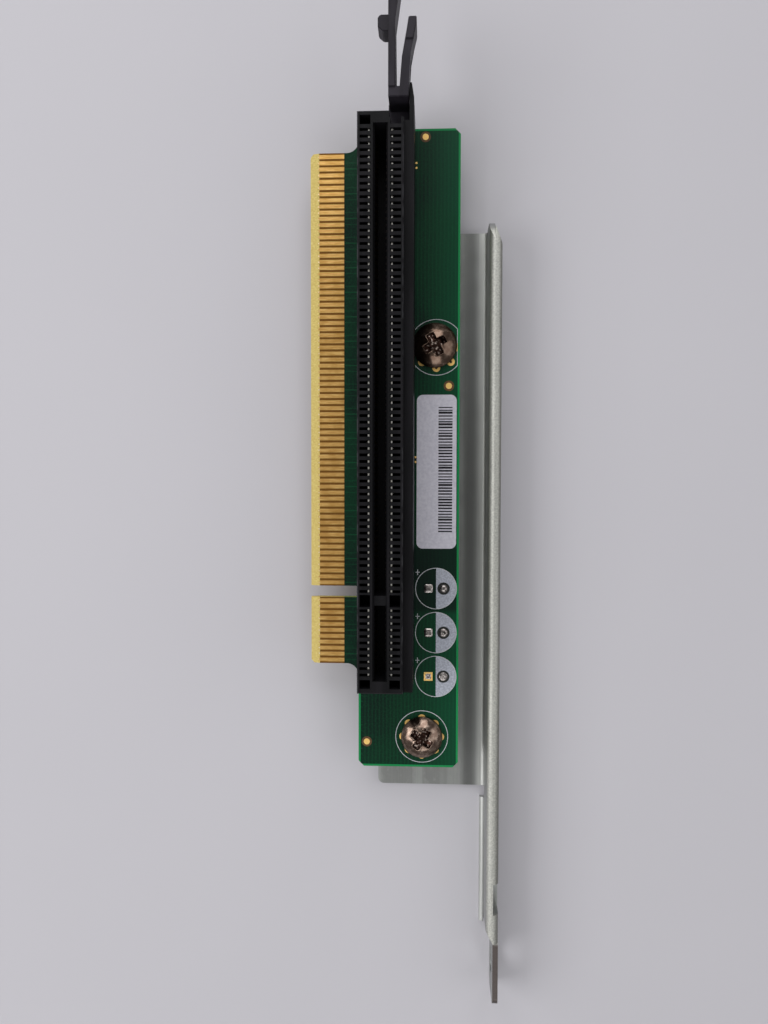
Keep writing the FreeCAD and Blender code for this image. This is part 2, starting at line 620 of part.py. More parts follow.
def pieces():
    """Every node of the assembly, by name."""
    long_places = long_contact_places()
    short_places = short_contact_places()
    rear = BOARD_UNDERSIDE - COPPER
    return {
        "circuit_board": circuit_board(),
        "front_fingers_long": edge_fingers(long_places, BOARD_TOP),
        "front_fingers_short": edge_fingers(short_places, BOARD_TOP),
        "rear_fingers_long": edge_fingers(long_places, rear),
        "rear_fingers_short": edge_fingers(short_places, rear),
        "upper_screw_land": screw_land(UPPER_SCREW),
        "lower_screw_land": screw_land(LOWER_SCREW),
        "square_solder_lands": square_lands(),
        "round_solder_lands": round_lands(),
        "fiducial_dots": fiducial_dots(),
        "chip_lands": chip_lands(),
        "serial_label": label(),
        "slot_housing": slot_housing(),
        "slot_contacts_left_long": slot_contacts(-1, long_places),
        "slot_contacts_left_short": slot_contacts(-1, short_places),
        "slot_contacts_right_long": slot_contacts(1, long_places),
        "slot_contacts_right_short": slot_contacts(1, short_places),
        "solder_joints_left": solder_joints(-1),
        "solder_joints_right": solder_joints(1),
        "retention_latch": retention_latch(),
        "riser_bracket": riser_bracket(),
        "upper_standoff": standoff(UPPER_SCREW),
        "lower_standoff": standoff(LOWER_SCREW),
        "upper_board_screw": board_screw(UPPER_SCREW),
        "lower_board_screw": board_screw(LOWER_SCREW),
    }


os.makedirs("parts", exist_ok=True)
for name, shape in pieces().items():
    shape.exportStep("parts/" + name + ".step")
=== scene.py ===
import math

import bmesh
import bpy
from mathutils import Matrix, Vector


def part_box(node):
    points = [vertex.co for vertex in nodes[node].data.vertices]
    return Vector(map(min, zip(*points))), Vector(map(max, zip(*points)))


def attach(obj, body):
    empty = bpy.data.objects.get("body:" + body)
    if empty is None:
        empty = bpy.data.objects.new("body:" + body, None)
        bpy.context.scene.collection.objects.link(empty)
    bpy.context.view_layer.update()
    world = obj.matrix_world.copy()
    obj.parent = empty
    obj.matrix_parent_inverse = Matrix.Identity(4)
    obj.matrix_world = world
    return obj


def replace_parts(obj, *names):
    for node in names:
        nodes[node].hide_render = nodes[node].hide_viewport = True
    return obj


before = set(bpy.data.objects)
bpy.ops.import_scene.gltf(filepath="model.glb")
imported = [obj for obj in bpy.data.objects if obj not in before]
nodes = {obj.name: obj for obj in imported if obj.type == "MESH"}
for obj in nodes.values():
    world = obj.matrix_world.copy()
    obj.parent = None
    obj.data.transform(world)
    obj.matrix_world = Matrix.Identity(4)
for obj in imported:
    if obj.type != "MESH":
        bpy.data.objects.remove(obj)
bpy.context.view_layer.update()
MM = 0.001


# ---------------------------------------------------------------- circuit board
# Glass-fibre laminate, milled to shape, with a green solder mask over its tracks.
# The mask stops short of the edges and of the plug-in tab, whose bevel is bare
# yellow laminate.

class Link:
    """A value, colour or place on its way through the nodes of a material."""

    def __init__(self, tree, socket):
        self.tree, self.socket = tree, socket

    def node(self, kind, settings, inputs, output=0):
        """Any other node: its settings first, then its sockets by name or number."""
        made = self.tree.nodes.new("ShaderNode" + kind)
        for key, value in settings.items():
            setattr(made, key, value)
        for key, value in inputs.items():
            if isinstance(value, Link):
                self.tree.links.new(value.socket, made.inputs[key])
            else:
                made.inputs[key].default_value = value
        return Link(self.tree, made.outputs[output])

    def math(self, operation, *values):
        return self.node("Math", {"operation": operation}, dict(enumerate(values)))

    def __add__(self, other): return self.math("ADD", self, other)
    def __radd__(self, other): return self.math("ADD", other, self)
    def __sub__(self, other): return self.math("SUBTRACT", self, other)
    def __rsub__(self, other): return self.math("SUBTRACT", other, self)
    def __mul__(self, other): return self.math("MULTIPLY", self, other)
    def __gt__(self, other): return self.math("GREATER_THAN", self, other)
    def __lt__(self, other): return self.math("LESS_THAN", self, other)
    def __mod__(self, other): return self.math("FLOORED_MODULO", self, other)
    def __abs__(self): return self.math("ABSOLUTE", self)

    def ease(self, low, high):
        """0 below low, 1 above high, and smooth between them."""
        settings = {"interpolation_type": "SMOOTHSTEP"}
        return self.node("MapRange", settings, {"Value": self, "From Min": low, "From Max": high})

    def axes(self):
        split = self.node("SeparateXYZ", {}, {0: self})
        return [Link(self.tree, out) for out in split.socket.node.outputs]

    def scaled(self, x, y, z):
        return self.node("VectorMath", {"operation": "MULTIPLY"}, {0: self, 1: (x, y, z)})

    def noise(self, scale, detail=2.0):
        """Noise from 0 to 1, with so many waves to a millimetre."""
        return self.node("TexNoise", {}, {"Vector": self, "Scale": scale, "Detail": detail})

    def blend(self, under, over):
        """Colour that is under where self is 0 and over where it is 1."""
        return self.node("Mix", {"data_type": "RGBA"}, {0: self, 6: under, 7: over}, 2)


def paint(red, green, blue):
    """Colour given in 0 to 255 screen steps, as the shader wants it."""
    steps = [c / 255 for c in (red, green, blue)]
    return tuple(c / 12.92 if c < 0.04045 else ((c + 0.055) / 1.055) ** 2.4 for c in steps) + (1.0,)


def new_finish(name, **constants):
    """Material with one shader; gives it, the shader, the place in mm, and the facing."""
    finish = bpy.data.materials.new(name)
    finish.use_nodes = True
    tree = finish.node_tree
    shader = tree.nodes["Principled BSDF"]
    for socket, value in constants.items():
        shader.inputs[socket.replace("_", " ")].default_value = value
    metres = Link(tree, tree.nodes.new("ShaderNodeTexCoord").outputs["Object"])
    facing = Link(tree, tree.nodes.new("ShaderNodeNewGeometry").outputs["Normal"])
    return finish, shader, metres.scaled(1 / MM, 1 / MM, 1 / MM), facing


def feed(shader, **links):
    """Join what varies over the surface to the shader's sockets."""
    for socket, link in links.items():
        link.tree.links.new(link.socket, shader.inputs[socket.replace("_", " ")])


def relief(height, depth):
    """Bump of that depth in millimetres."""
    return height.node("Bump", {}, {"Strength": 1.0, "Distance": depth * MM, "Height": height})


def dress(finish, *names):
    """Give CAD nodes a finish."""
    for name in names:
        nodes[name].data.materials.clear()
        nodes[name].data.materials.append(finish)


board_low, board_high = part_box("circuit_board")
BOARD_TOP = board_high.z / MM
BOARD_BACK = board_low.z / MM
BOARD_RIGHT = board_high.x / MM
BOARD_END = board_high.y / MM
BOARD_START = board_low.y / MM
finger_low, finger_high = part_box("front_fingers_long")
FINGER_START = finger_low.x / MM
FINGER_END = finger_high.x / MM
FINGER_TOP = finger_high.z / MM
PITCH = 1.0
BODY_LEFT = -4.2        # left edge of the board past the tab
TAB_START = -14.1       # end of the tab at the short side of its key
RIM = 0.3               # strip along the edges with no copper under the mask
TRACK_STEP = 0.62       # from one long run to the next
ROUND_LAND = 0.7
CAPACITOR_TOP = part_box("round_solder_lands")[1].y / MM - ROUND_LAND

board_finish, board_shader, place, facing = new_finish(
    "board_mask", Specular_IOR_Level=0.12, Coat_Roughness=0.1)
x, y, z = place.axes()
flat = abs(facing.axes()[2]).ease(0.97, 0.99)
mask_area = x.ease(FINGER_END - 0.05, FINGER_END + 0.05) * flat
below_tab = 1 - y.ease(TAB_START - 0.1, TAB_START + 0.1)
rim = x.ease(BOARD_RIGHT - RIM - 0.08, BOARD_RIGHT - RIM)
rim = rim.math("MAXIMUM", rim, y.ease(BOARD_END - RIM - 0.08, BOARD_END - RIM))
rim = rim.math("MAXIMUM", rim, 1 - y.ease(BOARD_START + RIM, BOARD_START + RIM + 0.08))
rim = rim.math("MAXIMUM", rim, (1 - x.ease(BODY_LEFT + RIM, BODY_LEFT + RIM + 0.08)) * below_tab)

# Tracks: one to each finger on the left of the slot, and long runs on the right.
near_fingers = 1 - x.ease(-3.6, -3.4)
along = abs(y % PITCH - PITCH / 2)
pair = abs((y + PITCH / 2) % (4 * PITCH) - 2 * PITCH)
fan = (1 - along.ease(0.06, 0.12)) * near_fingers * (1 - pair.ease(0.9, 1.1))
stripe = abs((x + place.noise(0.05) * 0.8) % TRACK_STEP - TRACK_STEP / 2)
runs = (1 - stripe.ease(0.09, 0.13)) * (1 - near_fingers)
tracks = fan * 0.7 + runs * 0.3
weave = place.scaled(1.0, 1.0, 0.1).noise(3.2, 3.0)
# Painted shade and reflection: the mask is painted darker towards the slot's housing and lighter
# out to the right edge.
out_of_slot_shade = x.ease(5.0, BOARD_RIGHT)
pour = place.noise(0.09, 1.0).ease(0.4, 0.6)
green = out_of_slot_shade.blend(paint(3, 30, 22), paint(6, 64, 42))
green = (pour * 0.35).blend(green, paint(4, 60, 34))
green = (tracks * 0.45).blend(green, paint(10, 96, 56))
green = (weave.ease(0.4, 0.7) * 0.2).blend(green, paint(6, 84, 48))

# The mask is painted near black round the upper capacitor.
capacitor_dark_patch = y.ease(CAPACITOR_TOP - 4.6, CAPACITOR_TOP - 3.2) * x.ease(3.0, 3.2)
capacitor_dark_patch = capacitor_dark_patch * (1 - y.ease(CAPACITOR_TOP + 6.4, CAPACITOR_TOP + 7.4))
green = (capacitor_dark_patch * 0.78).blend(green, paint(3, 20, 16))

# The edges: light that comes through the laminate makes a bright rim in the mask, and
# the milled sides and the tab's bevel show the laminate itself.
green = rim.blend(green, paint(26, 132, 74))
laminate = weave.ease(0.3, 0.75).blend(paint(206, 184, 108), paint(222, 204, 132))
bare = place.scaled(0.3, 6.0, 6.0).noise(1.5).ease(0.4, 0.65)
laminate = bare.blend(laminate, paint(196, 172, 98))
# Painted shade: the bare laminate between the fingers is painted dark brown, darker than its own
# tan.
between = x.ease(FINGER_START - 0.1, FINGER_START) * flat
laminate = between.blend(laminate, paint(112, 76, 30))
cut_edge = weave.ease(0.3, 0.7).blend(paint(132, 150, 84), paint(160, 172, 104))
cut_edge = (1 - x.ease(FINGER_END - 0.4, FINGER_END)).blend(cut_edge, laminate)
skin = mask_area.blend(flat.blend(cut_edge, laminate), green)
feed(board_shader, Base_Color=skin,
     Roughness=0.62 - mask_area * 0.3 + weave * 0.08,
     Coat_Weight=mask_area * 0.25,
     Normal=relief(tracks * mask_area + weave * 0.25, 0.018))
dress(board_finish, "circuit_board")


# ---------------------------------------------------------------- gold contacts
# Nickel and hard gold plated on copper: the fingers of the plug-in tab, the rings
# under the screws, the alignment dots and the small lands. Fingers are rubbed along
# their length by being plugged in.

TAB_LIMIT = -5.5        # gold to the left of this is on the tab

gold_finish, gold_shader, place, facing = new_finish("gold_plating", Metallic=1.0)
x, y, z = place.axes()
rubbed = place.scaled(0.5, 9.0, 1.0).noise(1.6, 3.0)
cloud = place.scaled(1.0, 0.5, 1.0).noise(0.5, 2.0)
on_tab = 1 - x.ease(TAB_LIMIT - 0.1, TAB_LIMIT + 0.1)
gold = rubbed.ease(0.3, 0.72).blend(paint(220, 166, 90), paint(250, 208, 132))
gold = (cloud.ease(0.4, 0.7) * 0.4).blend(gold, paint(196, 142, 68))
across = abs(y % PITCH - PITCH / 2)
shade_edge = across.ease(0.28, 0.34) * on_tab
gold = (shade_edge * 0.8).blend(gold, paint(132, 90, 34))
gold = on_tab.blend(paint(255, 216, 136), gold)
feed(gold_shader, Base_Color=gold, Roughness=0.54 - on_tab * 0.18 + rubbed * 0.14 - cloud * 0.06,
     Normal=relief(rubbed, 0.004))
dress(gold_finish, "front_fingers_long", "front_fingers_short", "rear_fingers_long",
      "rear_fingers_short", "fiducial_dots", "chip_lands")


def new_piece(name, mesh, finish, smooth=False):
    """Finish a mesh made in millimetres as a piece that rides on the part."""
    bmesh.ops.recalc_face_normals(mesh, faces=mesh.faces)
    bmesh.ops.transform(mesh, matrix=Matrix.Scale(MM, 4), verts=mesh.verts)
    data = bpy.data.meshes.new(name)
    mesh.to_mesh(data)
    mesh.free()
    for polygon in data.polygons:
        polygon.use_smooth = smooth
    piece = bpy.data.objects.new(name, data)
    bpy.context.scene.collection.objects.link(piece)
    data.materials.append(finish)
    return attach(piece, "root")


def join_loops(mesh, loops, closed=True):
    """Skin a row of loops with the same number of points; gives their vertices."""
    rows = [[mesh.verts.new(point) for point in loop] for loop in loops]
    count = len(rows[0])
    for low, high in zip(rows, rows[1:]):
        for i in range(count if closed else count - 1):
            j = (i + 1) % count
            mesh.faces.new((low[i], low[j], high[j], high[i]))
    return rows


def circle(x, y, z, radius, sides):
    """Level ring of points."""
    angles = [2 * math.pi * i / sides for i in range(sides)]
    return [Vector((x + radius * math.cos(a), y + radius * math.sin(a), z)) for a in angles]


def rectangle(x, y, half_x, half_y):
    """Corners of an upright rectangle about its centre."""
    return [(x + i * half_x, y + j * half_y) for i, j in ((-1, -1), (1, -1), (1, 1), (-1, 1))]


def slab(mesh, outline, low, high):
    """Upright prism over an outline of (x, y) points."""
    rows = join_loops(mesh, [[Vector((x, y, z)) for x, y in outline] for z in (low, high)])
    mesh.faces.new(rows[0][::-1])
    mesh.faces.new(rows[1])


stub_finish, stub_shader, place, facing = new_finish("plating_stub", Metallic=0.5)
torn = place.noise(3.0, 2.0)
torn_gold = torn.ease(0.35, 0.65).blend(paint(220, 176, 104), paint(255, 236, 190))
feed(stub_shader, Base_Color=torn_gold, Roughness=0.25 + torn * 0.2, Normal=relief(torn, 0.01))

# A stub of the bus that carried the plating current stands at each finger's end.
STUB_REACH = 0.22
STUB_LAP = 0.02         # how far a stub runs into its finger
STUB_HALF = 0.12
long_places = [1.5 + i * PITCH for i in range(71)]
short_places = [-1.5 - i * PITCH for i in range(11)]
mesh = bmesh.new()
for y in long_places + short_places:
    shift = 0.05 * math.sin(7 * y)
    slab(mesh, rectangle(FINGER_START + (STUB_LAP - STUB_REACH) / 2, y + shift,
                         (STUB_LAP + STUB_REACH) / 2, STUB_HALF),
         BOARD_TOP - 0.01, FINGER_TOP + 0.01)
new_piece("plating_stubs", mesh, stub_finish)


# ---------------------------------------------------------------- screw lands
# Gold-plated ring under each screw with lobes round it, and a small plated hole in
# each lobe. The slot's rail and the edge of the board cut the upper ring short.

def layer(mesh, inner, outer, low, high, closed=True):
    """Thin layer between two matching lines of points."""
    def at(line, z):
        return [Vector((x, y, z)) for x, y in line]
    rows = join_loops(mesh, [at(inner, low), at(outer, low), at(outer, high), at(inner, high)],
                      closed)
    count = len(inner)
    for i in range(count if closed else count - 1):
        j = (i + 1) % count
        mesh.faces.new((rows[3][i], rows[3][j], rows[0][j], rows[0][i]))
    if not closed:
        for end in (0, -1):
            mesh.faces.new([row[end] for row in rows])


def arc(cx, cy, radius, start, stop, count, limit=99.0):
    """Points along an arc, held inside a straight limit at the right."""
    points = []
    for i in range(count):
        angle = math.radians(start + (stop - start) * i / (count - 1))
        points.append((min(cx + radius * math.cos(angle), limit), cy + radius * math.sin(angle)))
    return points


def lobed(cx, cy, reach, lobes, left, right):
    """Outline of a ring with lobes at eighths of a turn, between straight limits."""
    points = []
    for i in range(240):
        angle = 2 * math.pi * i / 240
        off = math.radians((math.degrees(angle) + 22.5) % 45 - 22.5)
        side = (reach - LOBE) * math.sin(off)
        radius = LAND_RING
        if abs(side) < LOBE and round(math.degrees(angle) / 45) % 8 in lobes:
            radius = max(radius, (reach - LOBE) * math.cos(off) + math.sqrt(LOBE ** 2 - side ** 2))
        x = max(min(cx + radius * math.cos(angle), right), left)
        points.append((x, cy + radius * math.sin(angle)))
    return points


LOBE = 0.66             # radius of a lobe
LAND_RING = 3.1         # outer radius of the ring between its lobes
LAND_HOLE = 2.05
STITCH = 0.22           # radius of a plated hole
EDGE_MARGIN = 0.38
RAIL_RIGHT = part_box("slot_housing")[1].x / MM
HOUSING_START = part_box("slot_housing")[0].y / MM
LAND_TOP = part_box("lower_screw_land")[1].z / MM
UPPER_SCREW = (8.6, 40.4)
LOWER_SCREW = (6.4, -24.3)
LANDS = {"upper_screw_land": (UPPER_SCREW, 4.0, (0, 5, 6, 7)),
         "lower_screw_land": (LOWER_SCREW, 3.74, range(8))}

# Painted shade: each plated hole is a flat disc painted dark brown, standing in for the shade down
# the hole.
hole_finish, hole_shader, place, facing = new_finish("stitch_hole")
hole_shade_mottle = place.noise(4.0, 2.0)
feed(hole_shader, Base_Color=hole_shade_mottle.blend(paint(24, 16, 8), paint(52, 36, 16)),
     Roughness=0.5 + hole_shade_mottle * 0.2, Normal=relief(hole_shade_mottle, 0.004))
holes = bmesh.new()
for name, ((cx, cy), reach, lobes) in LANDS.items():
    left = RAIL_RIGHT + 0.03 if cy > HOUSING_START else BODY_LEFT
    right = BOARD_RIGHT - EDGE_MARGIN
    mesh = bmesh.new()
    inner = [(point.x, point.y) for point in circle(cx, cy, 0, LAND_HOLE, 240)]
    layer(mesh, inner, lobed(cx, cy, reach, lobes, left, right), BOARD_TOP, LAND_TOP)
    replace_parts(new_piece(name + "_dressed", mesh, gold_finish), name)
    for i in lobes:
        x = cx + (reach - LOBE) * math.cos(math.radians(45 * i))
        y = cy + (reach - LOBE) * math.sin(math.radians(45 * i))
        if left + STITCH < x < right - STITCH:
            rim_points = [(point.x, point.y) for point in circle(x, y, 0, STITCH, 24)]
            slab(holes, rim_points, BOARD_TOP, LAND_TOP + 0.006)
new_piece("stitch_holes", holes, hole_finish)


# ---------------------------------------------------------------- slot housing
# The card slot's body, injection moulded in black glass-filled plastic, with a pit
# for each contact. Its two pegs locate it in the board.

black_finish, black_shader, place, facing = new_finish("slot_plastic", Specular_IOR_Level=0.13)
x, y, z = place.axes()
grain = place.noise(5.0, 3.0)
flow = place.scaled(1.0, 0.12, 1.0).noise(0.6, 2.0)
black = flow.ease(0.35, 0.7).blend(paint(17, 17, 19), paint(25, 24, 27))
black = (grain.ease(0.62, 0.75) * 0.3).blend(black, paint(44, 43, 47))
# Painted highlight: the upper part of each lead-in slope is painted paler in streaks, where its
# moulded edge catches the light.
lead_in = abs(facing.axes()[0]).ease(0.3, 0.5) * (1 - abs(facing.axes()[0]).ease(0.8, 0.9))
bright_edge = lead_in * z.ease(16.6, 17.0) * place.scaled(1.0, 0.3, 1.0).noise(1.5).ease(0.45, 0.6)
black = (bright_edge * 0.3).blend(black, paint(84, 84, 88))
feed(black_shader, Base_Color=black, Roughness=0.36 + flow * 0.14, Normal=relief(grain, 0.01))
dress(black_finish, "slot_housing")


# ---------------------------------------------------------------- slot contacts
# Spring strips stamped from copper alloy, gold flashed, pressed into the housing.
# Their bent tips are painted near white, a painted highlight where they catch the light
# behind the lead-in ribs; lower down they are painted dark brown, painted shade down in the slot.

spring_finish, spring_shader, place, facing = new_finish("contact_spring", Metallic=1.0)
x, y, z = place.axes()
tip = z.ease(16.9, 17.3)
drawn = place.scaled(1.0, 8.0, 1.0).noise(2.0)
# Painted shade low in the slot, painted highlight on the tips.
alloy = tip.blend(paint(92, 74, 40), paint(250, 248, 242))
alloy = (drawn.ease(0.4, 0.7) * 0.3).blend(alloy, paint(196, 172, 122))
feed(spring_shader, Base_Color=alloy, Roughness=0.28 + drawn * 0.15, Normal=relief(drawn, 0.003))
dress(spring_finish, "slot_contacts_left_long", "slot_contacts_left_short",
      "slot_contacts_right_long", "slot_contacts_right_short")


# ---------------------------------------------------------------- retention latch
# One-piece fork moulded in dark grey plastic, a little paler than the slot. It sits
# in the bay at the slot's end and flexes to let a card go.

latch_finish, latch_shader, place, facing = new_finish("latch_plastic", Specular_IOR_Level=0.16)
grain = place.noise(4.0, 3.0)
flow = place.scaled(1.0, 0.2, 1.0).noise(0.5)
grey = flow.ease(0.35, 0.7).blend(paint(34, 31, 37), paint(46, 43, 50))
feed(latch_shader, Base_Color=grey, Roughness=0.38 + flow * 0.14, Normal=relief(grain, 0.012))

latch_low, latch_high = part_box("retention_latch")
FORK_TOP = latch_high.z / MM
FORK_DEPTH = 5.0
STEP = 0.3              # how far the fork lies below the faces of arm and grip
FOOT_LOW = latch_low.z / MM
FOOT_HEIGHT = 2.6
HOOK_DEPTH = 3.6
HOOK_REACH = 1.6
ARM_LENGTH = 16.2
ARM_WIDTH = 1.05
GAP = 0.76
FORK_WIDTH = 3.1
root = latch_high.y / MM - ARM_LENGTH
left = latch_low.x / MM + HOOK_REACH
arm_right = left + ARM_WIDTH
gap_right = arm_right + GAP
right = left + FORK_WIDTH
bay_end = root - 3.4

arm_side = [(arm_right, root + 0.1), (arm_right, root + 9.85),
            (arm_right + 0.85, root + ARM_LENGTH)]
fork = [(left, root - 1.3), (right, root - 1.3), (right, root), (right + 0.17, root + 5.15),
        (right + 1.17, root + 9.4), (right + 1.17, root + 10.35), (right - 0.03, root + 10.35),
        (gap_right + 0.24, root + 4.55), (gap_right, root + 0.1)]
fork = fork + arm_side + [(left, root + ARM_LENGTH)]
arm = [(left, root + 0.1)] + arm_side + [(left, root + ARM_LENGTH)]
grip = [(right - 0.55, root + 7.1), (right + 0.63, root + 7.1), (right + 1.17, root + 9.4),
        (right + 1.17, root + 10.35), (right - 0.03, root + 10.35)]
hook = [(left + 0.1, root + 8.35), (left - 0.8, root + 8.35), (left - HOOK_REACH, root + 9.05),
        (left - HOOK_REACH, root + 10.4), (left - 1.2, root + 10.8), (left + 0.1, root + 10.8)]
foot = [(left + 0.2, bay_end - 0.95), (right - 0.05, bay_end - 0.95), (right - 0.05, root - 0.06),
        (left - 0.2, root - 0.06), (left - 0.2, bay_end + 0.05), (left + 0.2, bay_end + 0.05)]
mesh = bmesh.new()
slab(mesh, fork, FORK_TOP - FORK_DEPTH, FORK_TOP - STEP)
slab(mesh, arm, FORK_TOP - STEP - 0.15, FORK_TOP)
slab(mesh, grip, FORK_TOP - STEP - 0.15, FORK_TOP)
slab(mesh, hook, FORK_TOP - STEP - HOOK_DEPTH, FORK_TOP - STEP)
slab(mesh, foot, FOOT_LOW, FOOT_LOW + FOOT_HEIGHT)
slab(mesh, [(left + 0.03, root - 1.27), (right - 0.03, root - 1.27), (right - 0.03, root - 0.03),
            (left + 0.03, root - 0.03)], FOOT_LOW, FORK_TOP - STEP - 1)
bmesh.ops.bevel(mesh, geom=mesh.edges[:], offset=0.1, segments=2, affect="EDGES")
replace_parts(new_piece("latch_fork", mesh, latch_finish), "retention_latch")


# ---------------------------------------------------------------- folded bracket
# Zinc-coated steel sheet, folded once for the flange and hemmed over along its top.
# The coating has a fine spangle and rolling left faint lines along the sheet. The
# flange carries a painted reflection: a dark strip along its middle and a pale strip by
# the wall. The hem's top is painted paler, part sanding wear and part painted
# highlight, and its outer side is painted darker as painted shade.

STRIP_MIDDLE = 14.5
TONGUE_START = -58.6    # past it the cut edge shows, darker than the coating

zinc_finish, zinc_shader, place, facing = new_finish("galvanised_sheet", Metallic=1.0)
x, y, z = place.axes()
spangle = place.node("TexVoronoi", {"feature": "SMOOTH_F1"}, {"Vector": place, "Scale": 0.3}, 0)
rolled = place.scaled(6.0, 0.06, 6.0).noise(1.2, 3.0)
bloom = place.scaled(1.0, 0.2, 1.0).noise(0.1, 3.0)
mottle = place.scaled(1.0, 0.6, 1.0).noise(1.1, 4.0)
sand = place.noise(3.4, 3.0)
bands = place.scaled(1.0, 0.02, 0.3).noise(0.4, 1.0)
zinc = spangle.ease(0.1, 0.7).blend(paint(170, 172, 170), paint(186, 188, 186))
zinc = (bloom.ease(0.4, 0.65) * 0.7).blend(zinc, paint(154, 156, 154))
zinc = (bands.ease(0.42, 0.6) * 0.5).blend(zinc, paint(124, 125, 123))
zinc = (mottle.ease(0.5, 0.75) * 0.4).blend(zinc, paint(176, 177, 174))
on_flange = 1 - z.ease(1.0, 1.4)
# Painted reflection: a dark strip along the middle of the flange.
reflection_strip = (1 - abs(x - STRIP_MIDDLE).ease(0.2, 1.9)) * on_flange
zinc = (reflection_strip * 0.85).blend(zinc, paint(112, 113, 112))
# Painted reflection: the flange is painted paler next to the wall.
zinc = (x.ease(15.4, 16.6) * on_flange * 0.7).blend(zinc, paint(214, 215, 212))
# The top of the hem is painted paler with a sanded mottle: partly sanding wear, partly a painted
# highlight on the rounded fold.
bright_edge = z.ease(7.6, 8.6)
sanded_and_lit = sand.ease(0.3, 0.7).blend(paint(184, 184, 178), paint(214, 214, 206))
zinc = (bright_edge * 0.8).blend(zinc, sanded_and_lit)
zinc = (rolled.ease(0.55, 0.75) * 0.3).blend(zinc, paint(112, 112, 110))
# Painted shade: the outer side of the hem is painted darker.
turned = facing.axes()[0].ease(0.15, 0.9) * bright_edge
zinc = (turned * 0.7).blend(zinc, paint(112, 112, 106))
on_tongue = 1 - y.ease(TONGUE_START - 0.4, TONGUE_START + 0.4)
sheared = on_tongue * facing.axes()[2].ease(0.5, 0.9) * z.ease(7.0, 7.6)
zinc = (sheared * 0.85).blend(zinc, rolled.blend(paint(60, 46, 46), paint(82, 68, 66)))
feed(zinc_shader, Base_Color=zinc,
     Roughness=0.36 + mottle * 0.12 + rolled * 0.08 + bright_edge * 0.12,
     Normal=relief(rolled + mottle * 0.3 + sand * 0.8, 0.014))
dress(zinc_finish, "riser_bracket")


# ---------------------------------------------------------------- standoffs
# Hexagonal steel bar, zinc plated, clinched into the flange and tapped for a screw.
# The plating is bright, with turning marks round the ends.

bar_finish, bar_shader, place, facing = new_finish("standoff_plating", Metallic=1.0)
turned_marks = place.scaled(1.0, 1.0, 7.0).noise(2.5, 2.0)
bright = turned_marks.ease(0.35, 0.65).blend(paint(170, 170, 172), paint(196, 197, 198))
feed(bar_shader, Base_Color=bright, Roughness=0.3 + turned_marks * 0.15,
     Normal=relief(turned_marks, 0.006))
dress(bar_finish, "upper_standoff", "lower_standoff")


# ---------------------------------------------------------------- board screws
# Pan-head machine screws with a cross recess, nickel plated. Both heads are painted
# darker and browner than bright nickel, a painted reflection of a dark room overhead,
# and the upper one darker still, painted shade and reflection from the slot's rail.
# Each recess is chewed by the driver and stands where its screw came tight.

# Each head: its radius, how far it sits to the right of and above the shank, and the
# turn of its recess in degrees.
HEADS = {"upper_board_screw": (3.66, -0.26, 0.28, 28), "lower_board_screw": (3.45, 0.0, 0.0, 55)}
SHANK = 1.75
HEAD_RIM = 0.55
HEAD_HEIGHT = 2.1
RECESS_REACH = 2.1
RECESS_HALF = 0.52
RECESS_DEPTH = 1.25
RECESS_ZONE = 2.6
HEAD_SIDES = 96
HEAD_RINGS = 52

nickel_finish, nickel_shader, place, facing = new_finish("screw_nickel", Metallic=1.0)
scuff = place.noise(1.6, 4.0)
# Painted shade: the upper head, past y = 10 mm, takes the shaded copy of the nickel.
upper_shade = place.axes()[1].ease(0.0, 10.0)
nickel_lit = scuff.ease(0.4, 0.7).blend(paint(118, 99, 88), paint(158, 139, 126))
nickel_shaded = scuff.ease(0.4, 0.7).blend(paint(98, 80, 69), paint(124, 106, 94))
nickel = upper_shade.blend(nickel_lit, nickel_shaded)
feed(nickel_shader, Base_Color=nickel, Roughness=0.17 + scuff.ease(0.5, 0.8) * 0.16,
     Normal=relief(scuff, 0.012))
# The recesses are painted dark brown, painted shade down in the cross, with bright flecks of
# plating scraped by the driver.
recess_finish, recess_shader, place, facing = new_finish("screw_recess", Metallic=1.0)
scrape = place.noise(2.6, 4.0)
recess_shade_and_scrapes = scrape.ease(0.56, 0.64).blend(paint(58, 40, 34), paint(214, 196, 184))
feed(recess_shader, Base_Color=recess_shade_and_scrapes, Roughness=0.22 + scrape * 0.2, Normal=relief(scrape, 0.03))


def recess_at(x, y, turn):
    """Depth of the chewed cross recess at a point of the head, burrs included."""
    deepest = 0.0
    nearest = 9.0
    for quarter in (0, 90):
        angle = math.radians(turn + quarter)
        u = abs(x * math.cos(angle) + y * math.sin(angle))
        v = abs(-x * math.sin(angle) + y * math.cos(angle))
        out = math.hypot(max(u - RECESS_REACH + 0.3, 0), max(v - RECESS_HALF, 0))
        wall = min(max(1 - out / 0.12, 0), 1)
        slope = min(max((RECESS_REACH - u) / 0.9, 0), 1)
        deepest = max(deepest, wall * (0.35 + 0.65 * slope) * RECESS_DEPTH)
        nearest = min(nearest, abs(out - 0.2))
    chewed = 0.5 + 0.5 * math.sin(7 * x + 3 * y) * math.cos(5 * y - 2 * x)
    burr = 0.09 * chewed * max(1 - nearest / 0.14, 0)
    return deepest - burr


